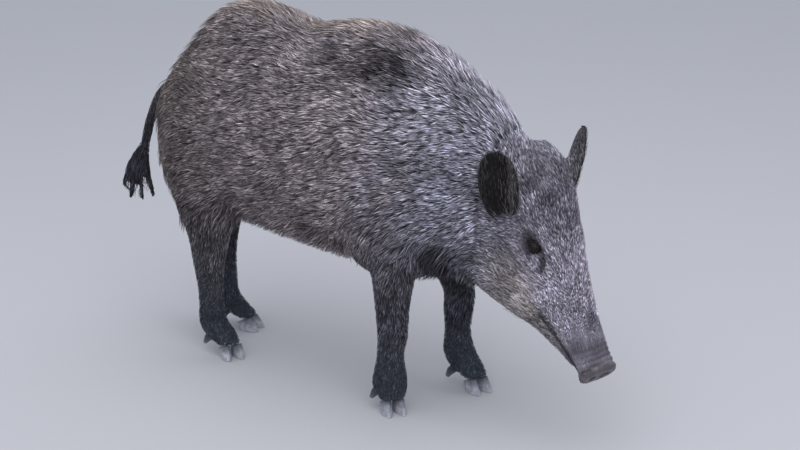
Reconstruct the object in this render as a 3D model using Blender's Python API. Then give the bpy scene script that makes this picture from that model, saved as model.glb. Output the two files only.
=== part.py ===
"""Wild boar: a young adult sow standing on a level floor with her head held low, life size.

+X runs from tail to snout, +Y to her left and +Z up, from the middle of the floor under her.
The flesh is modelled whole, out to the tips of the coat, from rings lofted along the spine, the head
and the legs. Thin cuts then part it into the pieces that a person would name.
"""

from math import atan2, cos, pi, radians, sin

import bmesh
import bpy
from mathutils import Matrix, Vector

# Driving dimensions, in metres and degrees.
GAP = 0.0003
SHOULDER_HEIGHT = 0.728
LOIN_HEIGHT = 0.746
BODY_HALF_WIDTH = 0.150
HEAD_PITCH = 59.0
HEAD_YAW = -20.0
SNOUT_TIP = Vector((0.623, -0.053, 0.160))
SNOUT_TILT = 14.0
NOSTRIL_RADIUS = 0.0065
NOSTRIL_DEPTH = 0.009
EYE_RADIUS = 0.0115
EAR_HEIGHT = 0.094
EAR_WIDTH = 0.066
EAR_THICKNESS = 0.007
# Each ear's root in the head's axes, how far it leans outwards, and how far up it opens.
EARS = {
    "right": (Vector((-0.335, -0.099, 0.013)), 0.30, 0.10),
    "left": (Vector((-0.353, 0.082, 0.016)), 0.50, -0.20),
}
KNEE_HEIGHT = 0.150
HOCK_HEIGHT = 0.185
SOLE_LENGTH = 0.050
CLAW_WIDTH = 0.026
CLAW_SPLAY = 5.0
CORONET_FRONT = 0.031
CORONET_HEEL = 0.016
CORONET_LENGTH = 0.036
CORONET_BACK = 0.018
DEWCLAW_HEIGHT = 0.036
DEWCLAW_APART = 0.050
DEWCLAW_SPLAY = 30.0
PASTERN_BULGE = 0.013
VOXEL = 0.006
FLESH_TRIANGLES = 4000
TUFT_TRIANGLES = 300
SHARP_ANGLE = 45.0
FAR = 1.0

# Where each foot stands, how far behind it the knee or the hock is, and how far its toes turn to her left.
FEET = {
    "foreleg_right": (0.213, -0.098, 0.002, -38.0),
    "foreleg_left": (0.296, 0.082, 0.050, -24.0),
    "hindleg_right": (-0.222, -0.062, 0.052, -30.0),
    "hindleg_left": (-0.293, 0.088, 0.072, 12.0),
}
SIDES = {"right": -1, "left": 1}

# Linear colours and roughness of the plain finishes.
FINISHES = {
    "coat": ((0.105, 0.092, 0.090), 0.75),
    "dark_coat": ((0.035, 0.032, 0.036), 0.75),
    "snout_skin": ((0.120, 0.108, 0.120), 0.55),
    "horn": ((0.220, 0.230, 0.280), 0.45),
    "eye": ((0.012, 0.008, 0.006), 0.08),
}


def clear_scene():
    for obj in list(bpy.data.objects):
        bpy.data.objects.remove(obj)


def finish_named(name):
    """A plain Principled finish, made once."""
    if name in bpy.data.materials:
        return bpy.data.materials[name]
    colour, roughness = FINISHES[name]
    made = bpy.data.materials.new(name)
    made.use_nodes = True
    shader = made.node_tree.nodes["Principled BSDF"]
    shader.inputs["Base Color"].default_value = (*colour, 1.0)
    shader.inputs["Roughness"].default_value = roughness
    shader.inputs["Metallic"].default_value = 0.0
    made.diffuse_color = (*colour, 1.0)
    return made


def new_object(name, bm, finish="coat"):
    """An object of this mesh, with its faces turned outwards."""
    bmesh.ops.recalc_face_normals(bm, faces=bm.faces[:])
    mesh = bpy.data.meshes.new(name)
    bm.to_mesh(mesh)
    bm.free()
    mesh.materials.append(finish_named(finish))
    obj = bpy.data.objects.new(name, mesh)
    bpy.context.scene.collection.objects.link(obj)
    return obj


def refinish(obj, finish):
    obj.data.materials.clear()
    obj.data.materials.append(finish_named(finish))


def copy_of(obj, name):
    made = obj.copy()
    made.data = obj.data.copy()
    made.name = name
    bpy.context.scene.collection.objects.link(made)
    return made


def grown(obj, name, amount):
    """A copy whose surface stands this far outside the object's own."""
    made = copy_of(obj, name)
    normals = [vertex.normal.copy() for vertex in made.data.vertices]
    for vertex, normal in zip(made.data.vertices, normals):
        vertex.co += amount * normal
    return made


def applied(obj):
    """The object with its modifiers worked into its mesh."""
    graph = bpy.context.evaluated_depsgraph_get()
    mesh = bpy.data.meshes.new_from_object(obj.evaluated_get(graph))
    obj.modifiers.clear()
    obj.data = mesh
    return obj


def cut(obj, tool, operation="DIFFERENCE"):
    """The object less the tool, or only what it shares with it."""
    boolean = obj.modifiers.new("cut", "BOOLEAN")
    boolean.operation = operation
    boolean.solver = "EXACT"
    boolean.object = tool
    applied(obj)
    bm = bmesh.new()
    bm.from_mesh(obj.data)
    bmesh.ops.triangulate(bm, faces=bm.faces[:])
    bm.to_mesh(obj.data)
    bm.free()
    return obj


def cut_away(tool, *objects):
    """Takes the tool's space out of each object, and then the tool itself away."""
    for obj in objects:
        cut(obj, tool)
    bpy.data.objects.remove(tool)


def bridged(loops):
    """A closed body through loops of as many points each, capped at both ends."""
    bm = bmesh.new()
    made = [[bm.verts.new(point) for point in loop] for loop in loops]
    count = len(made[0])
    for first, second in zip(made, made[1:]):
        for i in range(count):
            j = (i + 1) % count
            bm.faces.new((first[i], first[j], second[j], second[i]))
    bm.faces.new(made[0])
    bm.faces.new(made[-1])
    return bm


def between(a, b, c, d, t):
    """The Catmull-Rom curve from b to c, with a before them and d after them."""
    bend = (2 * a - 5 * b + 4 * c - d) * t**2 + (3 * b - a - 3 * c + d) * t**3
    return 0.5 * (2 * b + (c - a) * t + bend)


def smoothed(stations, steps):
    """More stations, on smooth curves through the named ones."""
    last = len(stations) - 1
    found = []
    for i in range(last):
        four = [stations[min(max(i + k, 0), last)] for k in (-1, 0, 1, 2)]
        for step in range(steps):
            found.append([between(*values, step / steps) for values in zip(*four)])
    found.append(list(stations[-1]))
    return found


def signed_power(value, exponent):
    return abs(value) ** exponent * (1 if value >= 0 else -1)


def loft(name, rings, sides=28, steps=4, squareness=2.1, yaw=0.0, finish="coat"):
    """A closed body through rings of (centre, pitch, half width, height above, depth below).

    Each ring lies across a direction that points down by its pitch and to the left by the yaw.
    A squareness of 2 is an ellipse, and more is fuller at the corners.
    """
    loops = []
    for centre, pitch, half_width, above, below in smoothed(rings, steps):
        turn = Matrix.Rotation(radians(yaw), 3, "Z") @ Matrix.Rotation(radians(pitch), 3, "Y")
        loop = []
        for i in range(sides):
            angle = 2 * pi * i / sides
            across = half_width * signed_power(cos(angle), 2 / squareness)
            reach = above if sin(angle) > 0 else below
            up = reach * signed_power(sin(angle), 2 / squareness)
            loop.append(centre + turn @ Vector((0.0, across, up)))
        loops.append(loop)
    return new_object(name, bridged(loops), finish)


def tube(name, stations, sides=10, steps=3, finish="dark_coat"):
    """A closed round body along stations of (centre, radius), with each ring square to its way."""
    fine = smoothed(stations, steps)
    loops = []
    for i, (centre, radius) in enumerate(fine):
        way = fine[min(i + 1, len(fine) - 1)][0] - fine[max(i - 1, 0)][0]
        turn = way.to_track_quat("Z", "Y")
        angles = [2 * pi * k / sides for k in range(sides)]
        loops.append([centre + turn @ Vector((radius * cos(a), radius * sin(a), 0.0)) for a in angles])
    return new_object(name, bridged(loops), finish)


def ellipsoid(name, centre, radii, pitch=0.0, yaw=0.0):
    bm = bmesh.new()
    bmesh.ops.create_icosphere(bm, subdivisions=3, radius=1.0)
    turn = Matrix.Rotation(radians(yaw), 4, "Z") @ Matrix.Rotation(radians(pitch), 4, "Y")
    place = Matrix.Translation(centre) @ turn @ Matrix.Diagonal((*radii, 1.0))
    bmesh.ops.transform(bm, matrix=place, verts=bm.verts)
    return new_object(name, bm)


def box(name, low, high, place):
    """A box between two corners in its own axes, set in place."""
    bm = bmesh.new()
    bmesh.ops.create_cube(bm, size=1.0)
    middle = Matrix.Translation((low + high) / 2)
    bmesh.ops.transform(bm, matrix=place @ middle @ Matrix.Diagonal((*(high - low), 1.0)), verts=bm.verts)
    return new_object(name, bm)


def joined(objects, name):
    """One mesh of all these objects' shapes, still overlapping."""
    bm = bmesh.new()
    for obj in objects:
        bm.from_mesh(obj.data)
        bpy.data.objects.remove(obj)
    return new_object(name, bm)


def fused(forms, name, voxel, rounds, triangles):
    """The overlapping forms fused into one smooth closed body of about this many triangles."""
    body = joined(forms, name)
    fuse = body.modifiers.new("fuse", "REMESH")
    fuse.mode = "VOXEL"
    fuse.voxel_size = voxel
    soften = body.modifiers.new("soften", "SMOOTH")
    soften.factor = 0.5
    soften.iterations = rounds
    applied(body)
    thin = body.modifiers.new("thin", "DECIMATE")
    thin.ratio = triangles / (2 * len(body.data.polygons))
    return applied(body)


def trunk_forms():
    """The barrel of the body from the rump to the nape, with its haunches and shoulders."""
    spine = [
        # x, height of the widest place, half width, above it, below it
        (-0.420, 0.500, 0.020, 0.020, 0.030),
        (-0.404, 0.500, 0.060, 0.055, 0.080),
        (-0.370, 0.490, 0.094, 0.118, 0.120),
        (-0.315, 0.485, 0.119, 0.183, 0.145),
        (-0.250, 0.485, 0.136, LOIN_HEIGHT - 0.504, 0.165),
        (-0.185, 0.485, BODY_HALF_WIDTH - 0.002, LOIN_HEIGHT - 0.487, 0.178),
        (-0.110, 0.485, BODY_HALF_WIDTH + 0.003, LOIN_HEIGHT - 0.497, 0.188),
        (-0.035, 0.480, BODY_HALF_WIDTH + 0.006, 0.234, 0.192),
        (0.040, 0.475, BODY_HALF_WIDTH + 0.006, SHOULDER_HEIGHT - 0.477, 0.195),
        (0.120, 0.470, BODY_HALF_WIDTH + 0.002, SHOULDER_HEIGHT - 0.470, 0.198),
        (0.200, 0.465, BODY_HALF_WIDTH - 0.006, SHOULDER_HEIGHT - 0.480, 0.198),
        (0.275, 0.455, 0.126, 0.223, 0.180),
        (0.345, 0.445, 0.104, 0.188, 0.140),
        (0.400, 0.435, 0.084, 0.150, 0.100),
        (0.440, 0.425, 0.056, 0.105, 0.060),
    ]
    rings = [(Vector((x, 0.0, z)), 0.0, wide, above, below) for x, z, wide, above, below in spine]
    yield loft("barrel", rings)
    for side in SIDES.values():
        yield ellipsoid("haunch", Vector((-0.285, side * 0.062, 0.430)), (0.096, 0.070, 0.135), pitch=-12)
        yield ellipsoid("shoulder", Vector((0.190, side * 0.075, 0.440)), (0.105, 0.078, 0.175), pitch=14)


def head_frame():
    """The head's own axes, from the snout's tip: x onwards, y to her left, z to the bridge of the nose."""
    turn = Matrix.Rotation(radians(HEAD_YAW), 4, "Z") @ Matrix.Rotation(radians(HEAD_PITCH), 4, "Y")
    return Matrix.Translation(SNOUT_TIP) @ turn


def ear_axes(side, root, lean, rise):
    """An ear's root, and the ways in which it is tall, wide and open: outwards and forwards."""
    turn = Matrix.Rotation(radians(HEAD_YAW), 3, "Z")
    facing = (turn @ Vector((0.62, side * 0.76, rise))).normalized()
    tall = turn @ Vector((0.0, side * lean, 1.0))
    tall = (tall - tall.dot(facing) * facing).normalized()
    return head_frame() @ root, tall, tall.cross(facing), facing


def head_forms():
    """The wedge of the face and skull, the lower jaw under it, and the cheeks and brows."""
    frame = head_frame()
    profile = [
        # distance back from the snout, tilt of the ring, half width, above, below
        (0.000, SNOUT_TILT, 0.037, 0.028, 0.030),
        (0.007, SNOUT_TILT, 0.041, 0.031, 0.034),
        (0.022, SNOUT_TILT * 0.6, 0.034, 0.029, 0.033),
        (0.070, 0.0, 0.033, 0.032, 0.041),
        (0.130, 0.0, 0.036, 0.035, 0.056),
        (0.190, 0.0, 0.044, 0.041, 0.075),
        (0.245, 0.0, 0.055, 0.046, 0.090),
        (0.300, 0.0, 0.070, 0.050, 0.100),
        (0.350, 0.0, 0.080, 0.050, 0.100),
        (0.400, 0.0, 0.080, 0.038, 0.080),
        (0.440, 0.0, 0.060, 0.018, 0.050),
    ]
    rings = [
        (frame @ Vector((-back, 0.0, 0.0)), HEAD_PITCH - tilt, wide, above, below)
        for back, tilt, wide, above, below in profile
    ]
    yield loft("skull", rings, yaw=HEAD_YAW)
    throat = [
        # x, y, z, pitch, half width, above, below
        (0.280, 0.000, 0.370, 0.0, 0.088, 0.080, 0.090),
        (0.345, -0.002, 0.355, 8.0, 0.084, 0.080, 0.080),
        (0.405, -0.008, 0.328, 16.0, 0.076, 0.070, 0.074),
        (0.460, -0.020, 0.297, 24.0, 0.064, 0.060, 0.067),
        (0.515, -0.034, 0.256, 36.0, 0.048, 0.050, 0.048),
        (0.562, -0.045, 0.204, 52.0, 0.033, 0.035, 0.026),
        (0.586, -0.051, 0.172, 58.0, 0.023, 0.020, 0.012),
    ]
    rings = [
        (Vector((x, y, z)), pitch, wide, above, below)
        for x, y, z, pitch, wide, above, below in throat
    ]
    yield loft("jaw", rings, yaw=HEAD_YAW)
    for side in SIDES.values():
        yield ellipsoid("cheek", frame @ Vector((-0.262, side * 0.034, -0.048)), (0.105, 0.042, 0.060),
                        pitch=HEAD_PITCH - 22, yaw=HEAD_YAW - side * 6)
        yield ellipsoid("brow", frame @ Vector((-0.270, side * 0.031, 0.024)), (0.045, 0.020, 0.016),
                        pitch=HEAD_PITCH, yaw=HEAD_YAW)
    for word, side in SIDES.items():
        root, tall, across, facing = ear_axes(side, *EARS[word])
        yield ellipsoid("ear_root", root - 0.012 * tall - 0.044 * facing, (0.022, 0.022, 0.034))


def leg_forms():
    """Each leg from inside the shoulder or the hip down to the coronet, through level rings."""
    for name, (x, y, back, turn) in FEET.items():
        side = -1 if y < 0 else 1
        # The pastern bulges behind the foot, where its dewclaws hang.
        heel = Matrix.Rotation(radians(turn), 3, "Z") @ Vector((-PASTERN_BULGE, 0.0, 0.0))
        if name.startswith("fore"):
            # x, y, z, half width across, half length in front of the bone and behind it
            points = [
                (0.205, side * 0.082, 0.430, 0.046, 0.062, 0.062),
                (0.205, side * 0.085, 0.340, 0.046, 0.056, 0.056),
                (0.214 - 0.3 * back, y, 0.275, 0.038, 0.042, 0.044),
                (x - back, y, 0.215, 0.031, 0.033, 0.035),
                (x - back, y, 0.165, 0.028, 0.031, 0.031),
                (x - 0.92 * back - 0.004, y, 0.120, 0.024, 0.026, 0.029),
                (x - 0.78 * back + 0.6 * heel.x, y + 0.6 * heel.y, 0.080, 0.029, 0.030, 0.038),
                (x - 0.40 * back + heel.x, y + heel.y, 0.050, 0.033, 0.031, 0.040),
                (x + 0.3 * heel.x, y + 0.3 * heel.y, 0.026, 0.027, 0.023, 0.023),
            ]
        else:
            points = [
                (-0.280, side * 0.080, 0.420, 0.052, 0.090, 0.090),
                (-0.260, side * 0.084, 0.335, 0.047, 0.072, 0.072),
                (x - 0.80 * back, y / 2 + side * 0.042, 0.270, 0.038, 0.050, 0.050),
                (x - back, y, 0.205, 0.029, 0.034, 0.041),
                (x - back, y, 0.155, 0.025, 0.028, 0.032),
                (x - 0.98 * back, y, 0.110, 0.025, 0.027, 0.029),
                (x - 0.88 * back + 0.5 * heel.x, y + 0.5 * heel.y, 0.075, 0.028, 0.029, 0.034),
                (x - 0.50 * back + 0.8 * heel.x, y + 0.8 * heel.y, 0.048, 0.032, 0.030, 0.038),
                (x + 0.3 * heel.x, y + 0.3 * heel.y, 0.026, 0.027, 0.023, 0.023),
            ]
        rings = [(Vector((x, y, z)), 90.0, across, fore, aft) for x, y, z, across, fore, aft in points]
        yield loft(name, rings, sides=20, squareness=2.0)


def ear(name, side):
    """A cupped leaf of an ear that stands up and out from the head."""
    root, tall, across, facing = ear_axes(side, *EARS[name[4:]])
    bm = bmesh.new()
    bmesh.ops.create_grid(bm, x_segments=7, y_segments=8, size=0.5)
    for vertex in bm.verts:
        v = 2 * vertex.co.x
        u = vertex.co.y + 0.5
        if u < 0.5:
            spread = 0.45 + 0.55 * sin(pi * u)
        else:
            spread = (1 - ((u - 0.5) / 0.51) ** 2.2) ** 0.5
        half_width = EAR_WIDTH / 2 * spread
        # The rims close in towards the root, and the leaf opens out flatter towards its tip.
        bend = radians(76 - 24 * u + 60 * max(1 - u / 0.4, 0.0) ** 2)
        cup = half_width * (0.80 - 0.40 * u)
        rim = cup * (1 - cos(v * bend)) / (1 - cos(bend)) - cup
        height = (u * 1.20 - 0.20) * EAR_HEIGHT
        edge = half_width * sin(v * bend) / sin(min(bend, pi / 2))
        vertex.co = root + tall * height + across * edge + facing * (rim + 0.02 * u * (1 - u))
    bmesh.ops.recalc_face_normals(bm, faces=bm.faces[:])
    bmesh.ops.solidify(bm, geom=bm.faces[:], thickness=EAR_THICKNESS)
    bmesh.ops.triangulate(bm, faces=bm.faces[:])
    return new_object(name, bm, "dark_coat")


def eye(name, side):
    bm = bmesh.new()
    bmesh.ops.create_icosphere(bm, subdivisions=2, radius=EYE_RADIUS)
    bmesh.ops.translate(bm, vec=head_frame() @ Vector((-0.253, side * 0.050, 0.006)), verts=bm.verts)
    return new_object(name, bm, "eye")


def nostril(side):
    """A blind hole up into the snout's disc."""
    bm = bmesh.new()
    bmesh.ops.create_cone(bm, cap_ends=True, segments=10, radius1=NOSTRIL_RADIUS, radius2=NOSTRIL_RADIUS,
                          depth=2 * NOSTRIL_DEPTH)
    lying = Matrix.Rotation(radians(90 - SNOUT_TILT), 4, "Y")
    place = head_frame() @ Matrix.Translation((0.0, side * 0.015, -0.002)) @ lying
    bmesh.ops.transform(bm, matrix=place, verts=bm.verts)
    return new_object("nostril", bm)


def claw(name, place, side):
    """One half of the cloven hoof: a flat sole under a coronet that slopes down to the heel."""
    levels = [
        # height in front, height at the heel, length, half width, how far its front stands back
        (0.000, 0.000, SOLE_LENGTH, CLAW_WIDTH * 0.50, 0.000),
        (CORONET_FRONT * 0.4, CORONET_HEEL * 0.4, SOLE_LENGTH * 0.97, CLAW_WIDTH * 0.52, CORONET_BACK * 0.3),
        (CORONET_FRONT, CORONET_HEEL, CORONET_LENGTH, CLAW_WIDTH * 0.48, CORONET_BACK),
    ]
    loops = []
    for front, heel, length, half_width, back in levels:
        loop = []
        for i in range(12):
            along = cos(2 * pi * i / 12)
            out = sin(2 * pi * i / 12)
            # The outer wall is curved and the inner one nearly straight.
            across = out * (1.0 if out * side > 0 else 0.75) * (1 - 0.42 * max(along, 0.0) ** 2)
            x = SOLE_LENGTH / 2 - back - length * (1 - along) / 2
            loop.append(place @ Vector((x, half_width * across, heel + (front - heel) * (along + 1) / 2)))
        loops.append(loop)
    return new_object(name, bridged(loops), "horn")


def dewclaw(name, place):
    """A short horn that hangs behind the pastern, clear of the floor."""
    return tube(name, [
        (place @ Vector((0.016, 0.0, 0.014)), 0.0085),
        (place @ Vector((0.003, 0.0, 0.007)), 0.0100),
        (place @ Vector((-0.004, 0.0, -0.004)), 0.0085),
        (place @ Vector((-0.007, 0.0, -0.017)), 0.0040),
    ], sides=7, steps=1, finish="horn")


def feet(flesh, skin):
    """Cuts each leg off at its coronet, and sets two claws under it and two dewclaws behind it."""
    for name, (x, y, back, turn) in FEET.items():
        facing = Matrix.Rotation(radians(turn), 4, "Z")
        stand = Matrix.Translation((x, y, 0.0)) @ facing
        slope = atan2(CORONET_FRONT - CORONET_HEEL, CORONET_LENGTH)
        top = stand @ Matrix.Translation((SOLE_LENGTH / 2 - CORONET_BACK, 0.0, CORONET_FRONT + 2 * GAP))
        below = box("below", Vector((-0.12, -0.08, -0.20)), Vector((0.12, 0.08, 0.0)),
                    top @ Matrix.Rotation(-slope, 4, "Y"))
        cut_away(below, flesh, skin)
        pastern = Matrix.Translation((x - 0.36 * back, y, DEWCLAW_HEIGHT)) @ facing
        for word, side in SIDES.items():
            beside = stand @ Matrix.Translation((0.0, side * (CLAW_WIDTH * 0.40 + 0.002), 0.0))
            claw(f"{name}_claw_{word}", beside @ Matrix.Rotation(radians(side * CLAW_SPLAY), 4, "Z"), side)
            behind = pastern @ Matrix.Translation((-PASTERN_BULGE - 0.017, side * DEWCLAW_APART / 2, 0.0))
            hanging = behind @ Matrix.Rotation(radians(side * DEWCLAW_SPLAY), 4, "X")
            cut(dewclaw(f"{name}_dewclaw_{word}", hanging), skin)


def tail(skin):
    """The thin tail hangs from the rump and ends in a tuft of curved locks."""
    dock = tube("tail", [
        (Vector((-0.385, -0.004, 0.552)), 0.019),
        (Vector((-0.428, -0.004, 0.538)), 0.015),
        (Vector((-0.458, -0.008, 0.500)), 0.011),
        (Vector((-0.478, -0.012, 0.450)), 0.0100),
        (Vector((-0.490, -0.016, 0.400)), 0.0095),
    ])
    cut(dock, skin)
    root = Vector((-0.488, -0.016, 0.412))
    tips = [
        Vector((-0.533, -0.042, 0.316)),
        Vector((-0.521, -0.032, 0.293)),
        Vector((-0.503, -0.018, 0.288)),
        Vector((-0.482, -0.002, 0.292)),
        Vector((-0.497, 0.012, 0.302)),
    ]
    locks = []
    for tip in tips:
        # Each lock swings back before it hangs down to its tip.
        knee = root.lerp(tip, 0.5) + Vector((-0.009, 0.0, 0.006))
        locks.append(tube("lock", [(root, 0.0115), (knee, 0.0085), (tip, 0.0028)]))
    tuft = fused(locks, "tail_tuft", 0.0025, 2, TUFT_TRIANGLES)
    refinish(tuft, "dark_coat")
    cut_away(grown(dock, "dock", GAP), tuft)


def part_off(body, name, low, high, place):
    """The piece of the body inside a box becomes an object of its own, a thin cut away from the rest."""
    margin = Vector((GAP, GAP, GAP))
    inner = box("inner", low, high, place)
    piece = cut(copy_of(body, name), inner, "INTERSECT")
    bpy.data.objects.remove(inner)
    cut_away(box("outer", low - margin, high + margin, place), body)
    return piece


def part_flesh(flesh):
    """Parts the whole flesh at the nape, shoulders, knees, hips, hocks, mouth and snout."""
    everywhere = Vector((FAR, FAR, FAR))
    nape = Matrix.Translation((0.395, 0.0, 0.450)) @ Matrix.Rotation(radians(8), 4, "Y")
    head = part_off(flesh, "head", Vector((0.0, -FAR, -FAR)), everywhere, nape)
    part_off(flesh, "neck", Vector((-0.115, -FAR, -0.175)), everywhere, nape)
    for name, stance in FEET.items():
        x, y = stance[:2]
        side = -1 if y < 0 else 1
        fore = name.startswith("fore")
        joint = Matrix.Translation((x - 0.02, side * 0.002, KNEE_HEIGHT if fore else HOCK_HEIGHT))
        near, far = sorted((0.0, side * 0.30))
        lower = part_off(flesh, name + "_lower", Vector((-0.15, near, -FAR)), Vector((0.15, far, 0.0)), joint)
        refinish(lower, "dark_coat")
        # The upper cut slopes up from between the legs to the outside of the shoulder or the hip.
        hip = Matrix.Translation((0.225, side * 0.004, 0.262) if fore else (-0.290, side * 0.004, 0.270))
        near, far = sorted((-side * 0.030, side * 0.30))
        upper = part_off(flesh, name, Vector((-0.12, near, -FAR)), Vector((0.08 if fore else 0.11, far, 0.0)),
                         hip @ Matrix.Rotation(radians(side * 32), 4, "X"))
        refinish(upper, "dark_coat")
    rump = Matrix.Translation((-0.170, 0.0, 0.480)) @ Matrix.Rotation(radians(-6), 4, "Y")
    part_off(flesh, "hindquarters", -everywhere, Vector((0.0, FAR, FAR)), rump)
    flesh.name = "trunk"
    frame = head_frame()
    disc = part_off(head, "snout", Vector((-0.013, -FAR, -FAR)), everywhere, frame)
    refinish(disc, "snout_skin")
    for side in SIDES.values():
        cut_away(nostril(side), disc)
    mouth = Matrix.Translation((-0.030, 0.0, -0.017)) @ Matrix.Rotation(radians(-5.5), 4, "Y")
    part_off(head, "lower_jaw", Vector((-0.230, -FAR, -FAR)), Vector((FAR, FAR, 0.0)), frame @ mouth)


def centre_on_floor():
    """Moves the whole boar so that the middle of its box on the floor is the origin."""
    corners = [vertex.co for obj in bpy.data.objects for vertex in obj.data.vertices]
    middle = [(min(c[i] for c in corners) + max(c[i] for c in corners)) / 2 for i in (0, 1)]
    for obj in bpy.data.objects:
        obj.data.transform(Matrix.Translation((-middle[0], -middle[1], 0.0)))


def shade_round():
    """Shades every piece smooth, except over the edges of its cuts."""
    for obj in bpy.data.objects:
        obj.data.shade_smooth()
        obj.data.set_sharp_from_angle(angle=radians(SHARP_ANGLE))


def main():
    clear_scene()
    forms = [*trunk_forms(), *head_forms(), *leg_forms()]
    flesh = fused(forms, "flesh", VOXEL, 8, FLESH_TRIANGLES)
    skin = grown(flesh, "skin", GAP)
    feet(flesh, skin)
    for word, side in SIDES.items():
        cut_away(grown(eye("eye_" + word, side), "socket", GAP), flesh)
        cut(ear("ear_" + word, side), skin)
    tail(skin)
    bpy.data.objects.remove(skin)
    part_flesh(flesh)
    centre_on_floor()
    shade_round()


main()
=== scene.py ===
"""Dresses the wild boar: one skin over her flesh, with folds, lids and ears, a coarse grizzled coat of
joined tufts that follows its own lie, wet eyes, horn hooves, and a plain studio floor, light and camera."""

from collections import namedtuple
from functools import partial
from math import cos, pi, radians, sin

import bmesh
import bpy
import numpy as np
from mathutils import Matrix, Vector
from mathutils.bvhtree import BVHTree
from mathutils.kdtree import KDTree
from mathutils.noise import noise_vector, seed_set


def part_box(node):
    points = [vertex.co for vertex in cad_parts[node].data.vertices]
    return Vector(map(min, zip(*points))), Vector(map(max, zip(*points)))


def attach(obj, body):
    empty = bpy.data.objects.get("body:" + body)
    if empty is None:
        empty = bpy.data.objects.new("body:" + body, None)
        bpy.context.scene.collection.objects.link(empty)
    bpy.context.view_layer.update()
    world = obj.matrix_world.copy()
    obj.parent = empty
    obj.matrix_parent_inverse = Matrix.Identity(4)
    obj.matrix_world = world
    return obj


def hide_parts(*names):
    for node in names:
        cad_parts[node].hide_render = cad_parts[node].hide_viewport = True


bl_info = {
    "name": "Wild boar coat",
    "version": (1, 0, 0),
    "blender": (4, 5, 0),
    "location": "View3D > Sidebar > Boar",
    "description": "Skin, coat, eyes and hooves over the wild boar's frame",
    "category": "Object",
}

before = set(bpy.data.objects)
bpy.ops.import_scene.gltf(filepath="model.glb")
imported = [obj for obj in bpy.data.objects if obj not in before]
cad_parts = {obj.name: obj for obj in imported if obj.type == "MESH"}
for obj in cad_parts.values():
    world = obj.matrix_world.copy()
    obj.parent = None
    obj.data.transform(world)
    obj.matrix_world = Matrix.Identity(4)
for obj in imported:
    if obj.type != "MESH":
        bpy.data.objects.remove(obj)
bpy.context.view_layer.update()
SIDES = {"right": -1, "left": 1}
FEET = ("foreleg_right", "foreleg_left", "hindleg_right", "hindleg_left")
FLESH = ("trunk", "hindquarters", "neck", "head", "lower_jaw", "snout", "ear_right", "ear_left", "tail",
         "tail_tuft") + FEET + tuple(foot + "_lower" for foot in FEET)

# Sizes here and below are in metres. The eyes are so far back from the snout's tip and up from its line.
HEAD_PITCH = 59.0
HEAD_YAW = -20.0
EYE_BACK = 0.253
EYE_UP = 0.006
CUT_GAP = 0.0004
SKIN_VOXEL = 0.0029
BODY_FACES = 30000
NOISE_SEED = 11
SQUARE_CM = 1e4  # in a square metre

# In the head's axes: heights above which are the muzzle and the whole face, and where the bare disc begins.
CHIN = -0.06
THROAT = -0.10
DISC_FROM = -0.019

# The snout's disc, in the head's axes: how it faces, its half sizes, and the plugs that fill its holes.
DISC_TILT = radians(14)
DISC_AXIS = np.array((cos(DISC_TILT), 0.0, sin(DISC_TILT)))
DISC_UP = np.array((-sin(DISC_TILT), 0.0, cos(DISC_TILT)))
DISC_HALF_WIDTH = 0.040
DISC_HALF_HEIGHT = 0.031
DISC_HOLLOW = 0.0022
NOSTRIL_OUT = 0.0140
NOSTRIL_DOWN = 0.002
NOSTRIL_HALF_WIDTH = 0.0066
NOSTRIL_HALF_HEIGHT = 0.0088
NOSTRIL_DEPTH = 0.0165
NOSTRIL_RIM = 0.0011
PLUG_OUT = 0.015
PLUG_RADIUS = 0.0072
PLUG_DEPTH = 0.020

# Lines on her face, as points of the head's x and z.
MOUTH_LINE = ((-0.130, -0.0265), (-0.088, -0.0205), (-0.058, -0.0180), (-0.031, -0.0155), (-0.016, -0.0150))
TEAR_LINE = ((-0.245, 0.0150), (-0.232, 0.0170), (-0.219, 0.0135), (-0.209, 0.0065), (-0.204, 0.0000))
EYE_OUT = (0.22, 0.90, 0.35)
EYE_ALONG = (0.0193, -0.0111, 0.0206)
EYE_HALF_LENGTH = 0.0088
EYE_HALF_HEIGHT = 0.0046
EYE_SUNK = 0.0022
LID_THICKNESS = 0.0013
LIP_DEPTH = 0.0034
LIP_ROLL = 0.0017
JAW_SET_IN = 0.0030
TEAR_DEPTH = 0.0017
TEAR_RIDGE = 0.0006

# Folds round each eye: height, distance from the lids' margin, half width and the lid that has them.
LID_FOLDS = (
    (-0.0014, 0.0042, 0.0016, "upper"),
    (0.0016, 0.0085, 0.0050, "upper"),
    (-0.0011, 0.0034, 0.0014, "lower"),
    (-0.0007, 0.0068, 0.0014, "lower"),
    (0.0007, 0.0012, 0.0014, "both"),
)

# Wrinkles across the bridge behind the disc: place, depth and half width.
WRINKLES = (
    (-0.0205, 0.0024, 0.0042),
    (-0.0305, 0.0015, 0.0026),
    (-0.0395, 0.0013, 0.0024),
    (-0.0490, 0.0010, 0.0024),
    (-0.0590, 0.0006, 0.0022),
)


# ---------------------------------------------------------------- small helpers

def linear(colour):
    """An sRGB hex colour as linear red, green, blue."""
    parts = [int(colour[i:i + 2], 16) / 255 for i in (1, 3, 5)]
    return np.array([p / 12.92 if p <= 0.04045 else ((p + 0.055) / 1.055) ** 2.4 for p in parts])


def step(low, high, value):
    """0 below low, 1 above high and a smooth ramp between; high may be the lower of the two."""
    t = np.clip((value - low) / (high - low), 0.0, 1.0)
    return t * t * (3 - 2 * t)


def unit(rows):
    return rows / np.maximum(np.linalg.norm(rows, axis=1, keepdims=True), 1e-9)


def lengths(rows):
    return np.linalg.norm(rows, axis=1)


def wandering(points, per_metre):
    """Smooth noise at each point, in three directions and the same on every run."""
    seed_set(NOISE_SEED)
    return np.array([noise_vector(point) for point in (points * per_metre).tolist()])


def middle(node):
    low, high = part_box(node)
    return (low + high) / 2


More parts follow.
